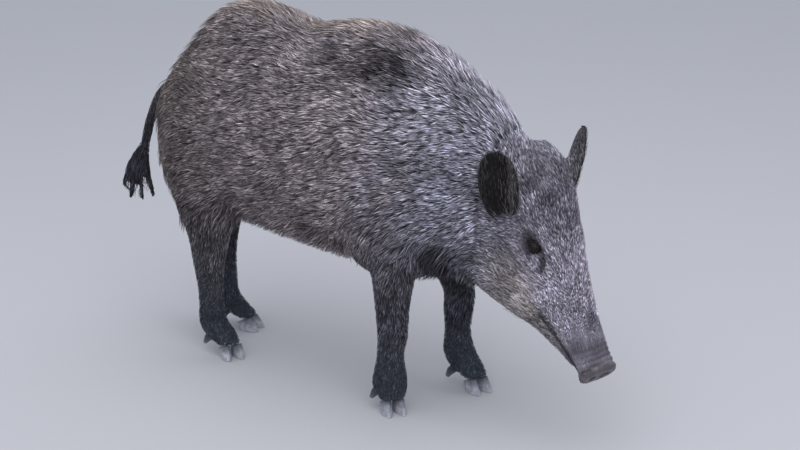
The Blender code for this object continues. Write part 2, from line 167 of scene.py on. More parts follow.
def meshed(bm, name, *materials):
    """A smooth mesh of what was built, with its materials."""
    mesh = bpy.data.meshes.new(name)
    bm.to_mesh(mesh)
    bm.free()
    for material in materials:
        mesh.materials.append(material)
    mesh.shade_smooth()
    return mesh


def link(obj, slot, *replaced):
    """Puts a finished piece in the scene, on the one body, in place of the nodes that it stands for."""
    if obj.name not in bpy.context.scene.collection.objects:
        bpy.context.scene.collection.objects.link(obj)
    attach(obj, "root")
    if replaced:
        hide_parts(*replaced)
    return obj


class Head:
    """The head's own axes: x towards the snout, y to her left, z up from the bridge of the nose."""
    turn = np.array(Matrix.Rotation(radians(HEAD_YAW), 3, "Z") @ Matrix.Rotation(radians(HEAD_PITCH), 3, "Y"))
    eyes = (np.array(middle("eye_left")) + np.array(middle("eye_right"))) / 2
    tip = eyes - turn @ np.array((-EYE_BACK, 0.0, EYE_UP))

    @classmethod
    def inside(cls, points):
        return (points - cls.tip) @ cls.turn

    @classmethod
    def outside(cls, points):
        return np.asarray(points) @ cls.turn.T + cls.tip


# ---------------------------------------------------------------- the skin's shape

def node_shell(name):
    """A copy of a node's mesh, with its loose triangles joined."""
    bm = bmesh.new()
    bm.from_mesh(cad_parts[name].data)
    bmesh.ops.remove_doubles(bm, verts=bm.verts[:], dist=1e-6)
    return bm


def joined(nodes, work):
    """The shells of several nodes together, each worked on first."""
    whole = bmesh.new()
    passing = bpy.data.meshes.new("passing")
    for node in nodes:
        bm = node_shell(node)
        work(bm)
        bm.to_mesh(passing)
        bm.free()
        whole.from_mesh(passing)
    bpy.data.meshes.remove(passing)
    return whole


def arrays(mesh):
    """The mesh's points and normals."""
    points, normals = np.empty((2, len(mesh.vertices), 3))
    mesh.vertices.foreach_get("co", points.ravel())
    mesh.vertices.foreach_get("normal", normals.ravel())
    return points, normals


def place(mesh, points):
    mesh.vertices.foreach_set("co", points.ravel())
    mesh.update()


def smoothed(mesh, values, rounds):
    """Values at the mesh's points, each made the mean of its neighbours' values, round after round."""
    edges = np.empty(len(mesh.edges) * 2, np.int64)
    mesh.edges.foreach_get("vertices", edges)
    a, b = edges.reshape(-1, 2).T
    count = len(mesh.vertices)
    share = np.maximum(np.bincount(a, minlength=count) + np.bincount(b, minlength=count), 1)
    values = values.reshape(count, -1).copy()
    for _ in range(rounds):
        mean = np.empty_like(values)
        for k in range(values.shape[1]):
            column = values[:, k]
            total = np.bincount(a, weights=column[b], minlength=count)
            total += np.bincount(b, weights=column[a], minlength=count)
            mean[:, k] = total / share
        values = mean
    return values if values.shape[1] > 1 else values[:, 0]


def swelled(bm):
    """Moves a shell outwards, so that it meets its neighbours across the cuts."""
    for vert in bm.verts:
        vert.co += CUT_GAP * vert.normal


def whole_flesh():
    """All the flesh as one closed fine mesh, with the eyeballs bulging under it and no seam at the cuts."""
    whole = joined(FLESH + ("eye_right", "eye_left"), swelled)
    # Plain plugs close the snout's round holes, which are shaped again more finely.
    lying = Matrix(Head.turn).to_4x4() @ Matrix.Rotation(pi / 2 - DISC_TILT, 4, "Y")
    inwards = -PLUG_DEPTH / 2 * Vector(Head.turn @ DISC_AXIS)
    for side in SIDES.values():
        spot = Vector(Head.outside((0.0, side * PLUG_OUT, -NOSTRIL_DOWN)))
        bmesh.ops.create_cone(whole, cap_ends=True, segments=10, radius1=PLUG_RADIUS, radius2=PLUG_RADIUS,
                              depth=PLUG_DEPTH, matrix=Matrix.Translation(spot + inwards) @ lying)
    skin = bpy.data.objects.new("skin", meshed(whole, "skin"))
    bpy.context.scene.collection.objects.link(skin)
    fuse = skin.modifiers.new("fuse", "REMESH")
    fuse.mode = "VOXEL"
    fuse.voxel_size = SKIN_VOXEL
    return worked_in(skin)


def worked_in(obj):
    """The object with its modifiers worked into its mesh."""
    graph = bpy.context.evaluated_depsgraph_get()
    mesh = bpy.data.meshes.new_from_object(obj.evaluated_get(graph))
    obj.modifiers.clear()
    obj.data = mesh
    return obj


def head_zone(points):
    """1 on the head, ears and nape, whose skin keeps its finest mesh, and 0 elsewhere."""
    h = Head.inside(points)
    return ((h[:, 0] > -0.47) & (h[:, 2] > -0.150)).astype(float)


def thinned_body(skin):
    """Fewer and larger faces under the thick coat of the body and legs."""
    points, _ = arrays(skin.data)
    keep = head_zone(points)
    group = skin.vertex_groups.new(name="body")
    group.add(np.flatnonzero(keep < 0.5).tolist(), 1.0, "REPLACE")
    quads = len(skin.data.polygons)
    thin = skin.modifiers.new("thin", "DECIMATE")
    thin.vertex_group = "body"
    thin.ratio = (2 * quads * keep.mean() + BODY_FACES) / (2 * quads)
    thin.use_collapse_triangulate = True
    worked_in(skin)
    skin.vertex_groups.clear()


def refined(skin, share, snout_from):
    """Halves the faces whose points are all in the face's fine zone."""
    points, _ = arrays(skin.data)
    chosen = fine_zone(Head.inside(points), share, snout_from)
    bm = bmesh.new()
    bm.from_mesh(skin.data)
    bm.verts.ensure_lookup_table()
    edges = [e for e in bm.edges if chosen[e.verts[0].index] and chosen[e.verts[1].index]]
    bmesh.ops.subdivide_edges(bm, edges=edges, cuts=1, use_grid_fill=True)
    bmesh.ops.triangulate(bm, faces=[f for f in bm.faces if len(f.verts) > 3])
    bm.to_mesh(skin.data)
    bm.free()


def along_line(h, line):
    """How far each point is from a line across the side of the head, and how far above it."""
    best = np.full(len(h), 1.0)
    above = np.zeros(len(h))
    for (x0, z0), (x1, z1) in zip(line, line[1:]):
        dx, dz = x1 - x0, z1 - z0
        t = np.clip(((h[:, 0] - x0) * dx + (h[:, 2] - z0) * dz) / (dx * dx + dz * dz), 0, 1)
        away_x, away_z = h[:, 0] - x0 - t * dx, h[:, 2] - z0 - t * dz
        away = np.hypot(away_x, away_z)
        nearer = away < best
        best[nearer] = away[nearer]
        above[nearer] = away_z[nearer]
    return best, above


def eye_axes(side):
    """The eye's centre in the head's axes, and rows along the slit, up across the lids and out."""
    out = np.array(EYE_OUT) * (1, side, 1)
    out /= np.linalg.norm(out)
    along = np.array(EYE_ALONG) * (1, side, 1)
    along -= along.dot(out) * out
    along /= np.linalg.norm(along)
    up = np.cross(out, along)
    up *= np.sign(up[2] - up[0])
    centre = np.array((-EYE_BACK, side * eye_reach(), EYE_UP)) - EYE_SUNK * out
    return centre, np.stack((along, up, out))


def by_eye(h, side):
    """Points of the head's axes in those of an eye."""
    centre, axes = eye_axes(side)
    return (h - centre) @ axes.T


def eye_reach():
    return abs(Head.inside(np.array([middle("eye_left")]))[0, 1])


def eye_radius():
    low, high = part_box("eye_left")
    return (high - low).z / 2


def slit(local):
    """How far outside the lids' margin each point is, in metres and negative within the opening."""
    u, v = local[:, 0] / EYE_HALF_LENGTH, local[:, 1]
    half = EYE_HALF_HEIGHT * np.where(v > 0, 1.05, 0.95)
    inside = (np.abs(v) / half + u * u - 1) * half
    return np.where(np.abs(u) > 1, np.hypot((np.abs(u) - 1) * EYE_HALF_LENGTH, v), inside)


def groove(away, half_width):
    """1 at the middle of a groove and 0 past its edges."""
    return 1 - step(0.0, half_width, np.abs(away))


def moved_lids(h, side):
    """The skin drawn over the eyeball, with a thick margin, a fold over it and a bag below."""
    centre, axes = eye_axes(side)
    local = (h - centre) @ axes.T
    near = (lengths(local) < 0.034) & (local[:, 2] > -0.004)
    p = local[near]
    out = slit(p)
    flat = p[:, 0] ** 2 + p[:, 1] ** 2
    radius = eye_radius()
    behind = np.sqrt(np.maximum((radius - 0.0030) ** 2 - flat, 0.0))
    lid = np.sqrt(np.maximum((radius + LID_THICKNESS) ** 2 - flat, 0.000001))
    cover = 1 - step(0.0035, 0.0130, out)
    w = p[:, 2] * (1 - cover) + np.minimum(lid, p[:, 2] + 0.004) * cover
    upper = step(-0.0005, 0.0010, p[:, 1])
    share = {"upper": upper, "lower": 1 - upper, "both": 1.0}
    for height, spot, half, which in LID_FOLDS:
        w += height * groove(out - spot, half) * share[which]
    w = np.where(out < 0, behind, w)
    p[:, 2] = w
    local[near] = p
    h[:] = local @ axes + centre


def face_folds(h, normals):
    """Works the mouth, tear lines, disc and wrinkles into the skin, and says where the nostrils are."""
    on_face = step(-0.30, -0.25, h[:, 0]) * step(-0.14, -0.12, h[:, 2])
    lateral = np.abs(normals[:, 1])
    away, above = along_line(h, MOUTH_LINE)
    side_skin = step(0.25, 0.55, lateral) * on_face
    push = -LIP_DEPTH * groove(away, 0.0030) * side_skin
    push += LIP_ROLL * groove(above - 0.0062, 0.0060) * (away < 0.012) * side_skin
    jaw = step(-0.002, -0.006, above) * step(-0.16, -0.12, h[:, 0]) * (h[:, 2] < 0.0) * on_face
    push -= JAW_SET_IN * jaw * step(0.0, 0.4, lateral)
    away, above = along_line(h, TEAR_LINE)
    push -= TEAR_DEPTH * groove(away, 0.0055) * side_skin
    push += TEAR_RIDGE * groove(away - 0.0075, 0.0040) * side_skin
    # Rings of loose skin across the bridge behind the disc, wavy and fading towards the chin.
    wave = 0.0016 * np.sin(h[:, 1] * 62 + 1.0) + 0.0008 * np.sin(h[:, 1] * 150)
    over = step(-0.018, 0.004, h[:, 2])
    for back, depth, half in WRINKLES:
        push -= depth * groove(h[:, 0] + wave - back, half) * over
        push += 0.4 * depth * groove(h[:, 0] + wave - back - 1.9 * half, half) * over
    h += push[:, None] * normals
    # The disc's face is a little hollow inside its rim, and each nostril opens into it.
    depth = h @ DISC_AXIS
    face = step(-0.006, -0.002, depth)
    y = h[:, 1]
    z = h @ DISC_UP
    rim = np.sqrt((y / DISC_HALF_WIDTH) ** 2 + ((z + 0.001) / DISC_HALF_HEIGHT) ** 2)
    h -= (DISC_HOLLOW * face * (1 - step(0.45, 0.85, rim)))[:, None] * DISC_AXIS
    hollow = np.zeros(len(h))
    z = z + NOSTRIL_DOWN
    for side in SIDES.values():
        # Each opening leans outwards towards its top.
        off = y - side * (NOSTRIL_OUT + 0.25 * z)
        hole = np.sqrt((off / NOSTRIL_HALF_WIDTH) ** 2 + (z / NOSTRIL_HALF_HEIGHT) ** 2)
        h -= (NOSTRIL_DEPTH * face * (1 - step(0.62, 1.0, hole)))[:, None] * DISC_AXIS
        hollow = np.maximum(hollow, face * (1 - step(0.70, 1.10, hole)))
        h += (NOSTRIL_RIM * face * groove(hole - 1.25, 0.30))[:, None] * DISC_AXIS
    return hollow


# ---------------------------------------------------------------- how the coat grows

# How hair lies off the body, on which it lies back.
DOWN_LEG = (-0.22, 0.0, -1.0)
DOWN_TAIL = (-0.20, 0.0, -1.0)
UP_EAR = (-0.15, 0.0, 1.0)
TO_EARS = tuple(Head.turn @ np.array((-1.0, 0.0, 0.0)))
SWIRL = 0.48
BROAD_SWIRLS = 9.0  # to a metre, so 110 mm each
SMALL_SWIRLS = 26.0  # 38 mm
COLOUR_CLOUDS = 30.0  # 33 mm
SHADE_CLOUDS = 17.0  # 59 mm

# Each part's coat: its depth, its tufts' length and width, how many grow on a square centimetre, its mean
# colour before dark roots and pale bands, the hide under it and how it lies.
Coat = namedtuple("Coat", "depth length width density colour hide lie")
COAT = {
    "trunk": Coat(0.0100, 0.0265, 0.0027, 8.2, "#9d9296", "body_hide", None),
    "hindquarters": Coat(0.0090, 0.0250, 0.0027, 8.2, "#7b706d", "body_hide", None),
    "neck": Coat(0.0095, 0.0240, 0.0025, 9.3, "#a8a8b8", "body_hide", None),
    "head": Coat(0.0042, 0.0125, 0.0016, 15.0, "#a8a2b1", "face_hide", TO_EARS),
    "lower_jaw": Coat(0.0050, 0.0125, 0.0017, 15.0, "#8d888c", "face_hide", TO_EARS),
    "snout": Coat(0.0004, 0.0125, 0.0008, 15.0, "#57535c", "face_hide", TO_EARS),
    "ear": Coat(0.0013, 0.0110, 0.0013, 20.0, "#4a474b", "ear_hide", UP_EAR),
    "tail": Coat(0.0030, 0.0160, 0.0018, 14.0, "#4c4a52", "leg_hide", DOWN_TAIL),
    "tail_tuft": Coat(0.0050, 0.0450, 0.0024, 14.0, "#3f3f4a", "leg_hide", DOWN_TAIL),
    "leg": Coat(0.0060, 0.0170, 0.0020, 9.0, "#55535d", "leg_hide", DOWN_LEG),
    "lower_leg": Coat(0.0030, 0.0090, 0.0013, 12.5, "#47505c", "leg_hide", DOWN_LEG),
}
# The tear lines' own dark, also used as painted shade along the mouth's line.
TEAR_STAIN_AND_MOUTH_SHADE = "#1d1a1e"
# Painted shade inside the ears' cups.
EAR_CUP_SHADE = "#1d1a1c"


def kind(name):
    """The part whose coat a node of flesh has."""
    if name in COAT:
        return name
    if name.startswith("ear"):
        return "ear"
    return "lower_leg" if name.endswith("_lower") else "leg"


def of_each_node(field):
    """One column of the coat's table, for each node of flesh in turn."""
    return np.array([getattr(COAT[kind(name)], field) for name in FLESH])


def labels_of(points):
    """For each point, the place in FLESH of the nearest node."""
    whole = bmesh.new()
    owner = []
    for number, name in enumerate(FLESH):
        whole.from_mesh(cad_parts[name].data)
        owner += [number] * (len(whole.faces) - len(owner))
    tree = BVHTree.FromBMesh(whole)
    whole.free()
    return np.array([owner[tree.find_nearest(point)[2]] for point in points.tolist()])


def soft_spot(points, centre, radii):
    """1 within an ellipsoid, fading to 0 outside it."""
    return 1 - step(0.55, 1.25, lengths((points - centre) / radii))


# Darker and paler places in the coat, two of them painted shade in creases and one painted light on the hind
# legs:
# colour, centre, radii and strength. One off the middle is on both sides, and the second list is in the
# head's axes.
BODY_PATCHES = (
    ("#9694a0", (0.260, 0.000, 0.480), (0.200, 0.300, 0.190), 0.60),
    # Painted shade in the crease between the loin and the shoulder hump.
    ("#45414a", (0.010, 0.060, 0.665), (0.030, 0.070, 0.055), 0.55),
    ("#2a282e", (0.120, 0.060, 0.660), (0.090, 0.060, 0.045), 0.75),
    ("#a3968c", (0.000, 0.000, 0.735), (0.300, 0.065, 0.035), 0.75),
    ("#3c3538", (-0.450, 0.000, 0.330), (0.120, 0.200, 0.110), 0.70),
    ("#4f494c", (-0.100, 0.000, 0.240), (0.350, 0.170, 0.060), 0.50),
    ("#363238", (0.240, 0.000, 0.310), (0.100, 0.150, 0.110), 0.85),
    # Painted shade in the crease between thigh and flank.
    ("#3a3537", (-0.215, 0.120, 0.330), (0.040, 0.060, 0.070), 0.70),
    # Painted light: paler on the upper hind legs, lifting their shaded side.
    ("#7d787e", (-0.275, 0.000, 0.250), (0.090, 0.160, 0.130), 0.65),
)
FACE_PATCHES = (
    ("#45424d", (-0.320, 0.000, 0.065), (0.115, 0.075, 0.065), 0.62),
    ("#a8a3b2", (-0.160, 0.045, 0.010), (0.070, 0.025, 0.030), 0.55),
    ("#aaa39f", (-0.165, 0.062, -0.045), (0.050, 0.030, 0.018), 0.80),
    ("#4a454d", (-0.253, 0.055, 0.006), (0.027, 0.026, 0.021), 1.00),
    ("#231f24", (-0.251, 0.055, 0.008), (0.016, 0.020, 0.011), 1.70),
    ("#504c58", (-0.070, 0.000, 0.035), (0.050, 0.022, 0.020), 0.60),
    ("#615c67", (-0.030, 0.000, 0.000), (0.055, 0.070, 0.060), 0.85),
)


def tinted(base, colour, weight):
    """Colours drawn towards one colour, by a weight at each point."""
    weight = weight[:, None]
    return base * (1 - weight) + linear(colour) * weight


def hair_colours(points, normals, numbers, mesh):
    """The mean colour of the hair at each point of the skin, with painted shade in creases, along the mouth
    and in the ear cups, which the skin and its coat share.
    """
    base = np.stack([linear(colour) for colour in of_each_node("colour")])[numbers]
    base = smoothed(mesh, base, 110)
    h = Head.inside(points)
    broken = 0.9 + 0.9 * wandering(points, COLOUR_CLOUDS)[:, 0]
    for patches, spots in ((BODY_PATCHES, points), (FACE_PATCHES, h)):
        for colour, (x, y, z), radii, strength in patches:
            for side in SIDES.values() if y else (1,):
                weight = strength * soft_spot(spots, (x, side * y, z), radii) * broken
                base = tinted(base, colour, np.clip(weight, 0, 1))
    # The tear line below each eye is dark, and along the line of the lips dark is painted as shade in the gap
    # between lip and jaw.
    on_side = (h[:, 0] > -0.30) & (np.abs(h[:, 1]) > 0.012) & (h[:, 2] > THROAT)
    for line, half, strength in ((TEAR_LINE, 0.0085, 0.85), (MOUTH_LINE, 0.0090, 0.80)):
        base = tinted(base, TEAR_STAIN_AND_MOUTH_SHADE, strength * groove(along_line(h, line)[0], half) * on_side)
    # Painted shade darkens the inside of each ear's cup, where its skin faces the opening.
    for side_name, side in SIDES.items():
        mine = numbers == FLESH.index(f"ear_{side_name}")
        base = tinted(base, EAR_CUP_SHADE, mine * step(0.05, 0.55, normals @ ear_facing(side)))
    return base


def ear_facing(side):
    """The way in which an ear's cup opens."""
    rise = 0.10 if side < 0 else -0.20
    facing = np.array(Matrix.Rotation(radians(HEAD_YAW), 3, "Z") @ Vector((0.62, side * 0.76, rise)))
    return facing / np.linalg.norm(facing)


def coat_lie(points, numbers):
    """The way in which the hair lies at each point: back along the body, down the legs, up the face."""
    lie = np.zeros_like(points)
    lie[:] = (-1.0, 0.0, -0.10)
    # Low on the body it slants down, and behind it falls over the haunches.
    low = step(0.52, 0.24, points[:, 2])
    lie[:, 2] -= 0.75 * low
    behind = step(-0.30, -0.50, points[:, 0])
    lie[:, 2] -= 0.9 * behind * step(0.66, 0.52, points[:, 2])
    for number, name in enumerate(FLESH):
        if COAT[kind(name)].lie:
            lie[numbers == number] = COAT[kind(name)].lie
    h = Head.inside(points)
    # On the cheeks the hair turns down and back from the eye towards the jowl.
    cheek = (np.isin(numbers, (FLESH.index("head"), FLESH.index("lower_jaw")))
             * step(-0.13, -0.20, h[:, 0]) * step(0.02, -0.03, h[:, 2]))
    lie += (0.9 * cheek)[:, None] * (Head.turn @ np.array((0.0, 0.0, -1.0)))
    return lie


def swirled(lie, points):
    """The lie turned a little one way and the other, in broad and small waves."""
    wave = wandering(points, BROAD_SWIRLS) + 0.5 * wandering(points, SMALL_SWIRLS)
    return unit(lie) + SWIRL * wave


def along_skin(vectors, normals):
    flat = vectors - (vectors * normals).sum(axis=1, keepdims=True) * normals
    weak = lengths(flat) < 0.15
    down = np.array((0.0, 0.0, -1.0)) - normals * (-normals[:, 2:3])
    flat[weak] += 0.3 * unit(down[weak])
    return unit(flat)


def put(mesh, name, values):
    """Stores a number, a vector or a colour at each point of the mesh."""
    values = np.asarray(values, np.float32)
    size = values.size // len(values)
    stored, field = {1: ("FLOAT", "value"), 3: ("FLOAT_VECTOR", "vector"), 4: ("FLOAT_COLOR", "color")}[size]
    mesh.attributes.new(name, stored, "POINT").data.foreach_set(field, values.ravel())


def got(mesh, name):
    """A stored number, vector or colour at each point of the mesh."""
    fields = {"FLOAT": ("value", 1), "FLOAT_VECTOR": ("vector", 3), "FLOAT_COLOR": ("color", 4)}
    layer = mesh.attributes[name]
    field, size = fields[layer.data_type]
    values = np.empty(len(layer.data) * size, np.float32)
    layer.data.foreach_get(field, values)
    return values.reshape(-1, size) if size > 1 else values


def evened(mesh, points, rounds):
    """Rounds off facets without shrinking the form."""
    soft = smoothed(mesh, points, rounds)
    return soft + smoothed(mesh, points - soft, rounds)


def coat_depth(mesh, points, numbers):
    """How deep the coat stands at each point, shortest round the eyes and towards the snout."""
    deep = smoothed(mesh, of_each_node("depth")[numbers], 10)
    h = Head.inside(points)
    for side in SIDES.values():
        away = lengths(h - eye_axes(side)[0])
        deep *= 0.20 + 0.80 * step(0.014, 0.042, away)
    on_muzzle = (h[:, 2] > THROAT) & (np.abs(h[:, 1]) < 0.10)
    return deep * np.where(on_muzzle, 1 - 0.92 * step(-0.120, -0.030, h[:, 0]), 1.0)


def grown_skin():
    """The skin under the coat, with its folds and lids, and what the coat needs stored at its points."""
    skin = whole_flesh()
    points, _ = arrays(skin.data)
    place(skin.data, evened(skin.data, points, 9))
    thinned_body(skin)
    mesh = skin.data
    points, normals = arrays(mesh)
    deep = coat_depth(mesh, points, labels_of(points))
    place(mesh, points - deep[:, None] * smoothed(mesh, normals, 3))
    refined(skin, 1.0, -0.070)
    refined(skin, 0.5, -0.012)
    points, normals = arrays(mesh)
    h = Head.inside(points)
    hollow = face_folds(h, normals @ Head.turn)
    place(mesh, Head.outside(h))
    h = Head.inside(arrays(mesh)[0])
    for side in SIDES.values():
        moved_lids(h, side)
    place(mesh, Head.outside(h))
    mesh.shade_smooth()
    points, normals = arrays(mesh)
    numbers = labels_of(points)
    put(mesh, "node", numbers)
    put(mesh, "depth", coat_depth(mesh, points, numbers))
    lie = along_skin(coat_lie(points, numbers), normals)
    put(mesh, "lie", along_skin(swirled(smoothed(mesh, lie, 25), points), normals))
    hair = hair_colours(points, normals, numbers, mesh)
    put(mesh, "hair", np.column_stack((hair, np.ones(len(points)))))
    put(mesh, "bare", bare_skin(points))
    put(mesh, "hollow", hollow)
    return skin


def bare_skin(points):
    """1 where no hair grows: in the eyes and on the snout's disc; part way on the lids, lips and wrinkles."""
    h = Head.inside(points)
    bare = step(-0.026, -0.014, h[:, 0]) * (h[:, 2] > CHIN)
    bare = np.maximum(bare, 0.8 * step(-0.115, -0.045, h[:, 0]) * (h[:, 2] > CHIN))
    for side in SIDES.values():
        local = by_eye(h, side)
        near = (lengths(local) < 0.030) & (local[:, 2] > 0)
        bare = np.maximum(bare, near * (1 - step(0.0008, 0.0035, slit(local))))
    away, _ = along_line(h, MOUTH_LINE)
    return np.maximum(bare, 0.9 * groove(away, 0.0030) * (np.abs(h[:, 1]) > 0.015))


def fine_zone(h, share, snout_from):
    """Where the face needs smaller faces: round the eyes, along the mouth and tear lines and on the snout."""
    near_mouth = (along_line(h, MOUTH_LINE)[0] < 0.010 * share) & (h[:, 0] > -0.15)
    near_tear = along_line(h, TEAR_LINE)[0] < 0.009 * share
    sides = np.abs(h[:, 1]) > 0.020
    zone = (near_mouth | near_tear) & sides
    zone |= h[:, 0] > snout_from
    for side in SIDES.values():
        zone |= lengths(h - eye_axes(side)[0]) < 0.028 * (share + 0.1)
    return zone & (h[:, 2] > THROAT) & (h[:, 0] > -0.40)


# ---------------------------------------------------------------- the coat's tufts

LEADERS = 0.15  # the share of tufts that draw their neighbours' tips into a lock
TUFT_FLATNESS = 0.55
ROOT_DEPTH = 0.0012
LEAST_HEIGHT = 0.0004

# The bake's map, one across: the pitch of its cells, how much of one a tuft fills, and how many cells away
# from its own a tuft may be put.
MAP_PITCH = 0.0034
MAP_CELL = 0.0028
MAP_REACH = 9

# How each region's map is wound: the axis that it goes round, and the way in which it starts.
ROUND_BODY = ((1, 0, 0), (0, 0, -1))
ROUND_LIMB = ((0, 0, 1), (-1, 0, 0))
ROUND_HEAD = (Head.turn[:, 0], -Head.turn[:, 2])

SHOULDERS_FROM = 0.02
RUFF_HAIR = 0.026
RUFF = "#a39c9c"
EAR_RIM = "#777173"
JOWL = (-0.200, 0.070, -0.050)
JOWL_RADII = (0.075, 0.050, 0.045)


class Surface:
    """The finished skin, asked for its roots, its nearest points and what is stored on it, with the random
    numbers of one region of the coat."""

    def __init__(self, region=0):
        self.rng = np.random.default_rng(settings().seed + region)
        mesh = bpy.data.objects["skin"].data
        self.points, self.normals = arrays(mesh)
        corners = np.empty(len(mesh.loops), np.int64)
        mesh.loops.foreach_get("vertex_index", corners)
        self.faces = corners.reshape(-1, 3)
        self.node = np.rint(got(mesh, "node")).astype(int)
        self.depth, self.lie, self.bare = (got(mesh, name) for name in ("depth", "lie", "bare"))
        self.hair = got(mesh, "hair")[:, :3]
        self.tree = BVHTree.FromPolygons(self.points.tolist(), self.faces.tolist())
        a, b, c = (self.points[self.faces[:, k]] for k in range(3))
        self.area = lengths(np.cross(b - a, c - a)) / 2
        self.face_spots = self.points[self.faces].mean(axis=1)
        self.face_node = self.node[self.faces[:, 0]]

    def on(self, *nodes):
        """1 on the faces over some nodes of flesh and 0 elsewhere."""
        return np.isin(self.face_node, [FLESH.index(node) for node in nodes]).astype(float)

    def roots(self, weight, density=None):
        """Random spots, spread evenly over the faces by their weight, with each spot's share of its corners.
        They are as dense as the coat's table says, unless a density is given."""
        if density is None:
            density = of_each_node("density")[self.face_node] * settings().fullness
        load = np.cumsum(self.area * weight * density * SQUARE_CM)
        count = int(load[-1])
        at = (np.arange(count) + self.rng.random(count)) / count * load[-1]
        face = np.minimum(np.searchsorted(load, at), len(load) - 1)
        u, v = self.rng.random((2, count))
        over = u + v > 1
        u[over], v[over] = 1 - u[over], 1 - v[over]
        return Roots(self, face, np.column_stack((1 - u - v, u, v)))

    def snapped(self, points):
        """The nearest spots of the skin to some points, as places, normals and lies."""
        found = [self.tree.find_nearest(point) for point in points.tolist()]
        places = np.array([hit[0] for hit in found])
        face = np.array([hit[2] for hit in found])
        corner = self.faces[face, 0]
        return places, unit(self.normals[self.faces[face]].mean(axis=1)), self.lie[corner]


class Roots:
    """Where tufts grow, with the skin's stored values there."""

    def __init__(self, surface, face, share):
        self.surface = surface
        self.count = len(face)
        corners = surface.faces[face]
        for field in ("points", "normals", "depth", "lie", "hair", "bare"):
            picked = getattr(surface, field)[corners]
            shares = share.reshape(share.shape + (1,) * (picked.ndim - 2))
            setattr(self, field, (picked * shares).sum(axis=1))
        self.normals = unit(self.normals)
        self.node = surface.node[corners[:, 0]]


def tuft_shape(rings):
    """One tuft along z, from its root at 0 to its tip at 1: a thin closed spike of joined hairs."""
    bm = bmesh.new()
    bmesh.ops.create_cone(bm, cap_ends=True, segments=3, radius1=1.0, radius2=0.0, depth=1.0,
                          matrix=Matrix.Translation((0, 0, 0.5)))
    bmesh.ops.remove_doubles(bm, verts=bm.verts[:], dist=1e-4)
    for k in range(1, rings):
        bmesh.ops.bisect_plane(bm, geom=bm.verts[:] + bm.edges[:] + bm.faces[:],
                               plane_co=(0, 0, k / rings), plane_no=(0, 0, 1))
    bmesh.ops.triangulate(bm, faces=bm.faces[:])
    bmesh.ops.recalc_face_normals(bm, faces=bm.faces[:])
    bm.verts.index_update()
    spots = np.array([vert.co[:] for vert in bm.verts])
    faces = np.array([[vert.index for vert in face.verts] for face in bm.faces])
    bm.free()
    level = np.rint(spots[:, 2] * rings).astype(int)
    around = unit(np.where(level[:, None] < rings, spots[:, :2], 1.0))
    return around, level, faces


def combed(roots, length, rings=2, stand=0.0, fall=0.0, stray=0.22):
    """Each tuft's path from its root to its tip, along the lie of the skin that it passes over."""
    rng = roots.surface.rng
    ahead = along_skin(roots.lie + stray * rng.normal(size=(roots.count, 3)), roots.normals)
    path = [roots.points - ROOT_DEPTH * roots.normals]
    spot, normal = roots.points, roots.normals
    rise = roots.depth * rng.uniform(0.70, 1.20, roots.count) + stand
    for k in range(1, rings + 1):
        along = k / rings
        spot, normal, lie = roots.surface.snapped(spot + ahead * (length / rings)[:, None])
        ahead = along_skin(0.5 * ahead + 0.5 * lie + 0.35 * stray * rng.normal(size=lie.shape), normal)
        # It rises quickly from its root and then lies at the coat's depth.
        height = rise * (0.25 + 0.75 * along ** 0.8) + LEAST_HEIGHT
        path.append(spot + normal * height[:, None] - np.array((0, 0, fall)) * along ** 2)
    return np.stack(path, axis=1)


def clumped(path, rng, pull):
    """Draws neighbouring tufts' tips together into locks, and says how pale each lock is."""
    count = len(path)
    leaders = rng.random(count) < LEADERS
    leaders[0] = True
    chosen = np.flatnonzero(leaders)
    tree = KDTree(len(chosen))
    for number, index in enumerate(chosen):
        tree.insert(path[index, 0], number)
    tree.balance()
    nearest = chosen[[tree.find(point)[1] for point in path[:, 0].tolist()]]
    amount = pull * rng.uniform(0.4, 1.0, count)[:, None]
    for k in range(1, path.shape[1]):
        along = k / (path.shape[1] - 1)
        path[:, k] += (path[nearest, k] - path[:, k]) * amount * along ** 1.5
    pale = rng.random(count)
    return pale[nearest]


def wound_on(points, centre, wound):
    """A spot on an unwrap for each root: how far round the axis it is, and how far along it."""
    axis, start = (np.array(way, float) for way in wound)
    axis /= np.linalg.norm(axis)
    start = unit((start - start.dot(axis) * axis)[None])[0]
    third = np.cross(axis, start)
    away = points - centre
    return np.column_stack((np.arctan2(away @ third, away @ start), away @ axis))


def settled(spots):
    """Spreads the spots over the map and moves each to a free cell near its own, so that few overlap."""
    low, high = spots.min(axis=0), spots.max(axis=0)
    spots = 0.02 + 0.955 * (spots - low) / (high - low)
    cells = np.floor(spots / MAP_PITCH).astype(int).tolist()
    last = int(0.985 / MAP_PITCH) - 1
    steps = range(-MAP_REACH, MAP_REACH + 1)
    ring = sorted(((i, j) for i in steps for j in steps), key=lambda by: by[0] ** 2 + by[1] ** 2)
    taken = set()
    for k, (i, j) in enumerate(cells):
        for across, up in ring:
            cell = (min(max(i + across, 1), last), min(max(j + up, 1), last))
            if cell not in taken:
                break
        taken.add(cell)
        cells[k] = cell
    return np.array(cells) * MAP_PITCH


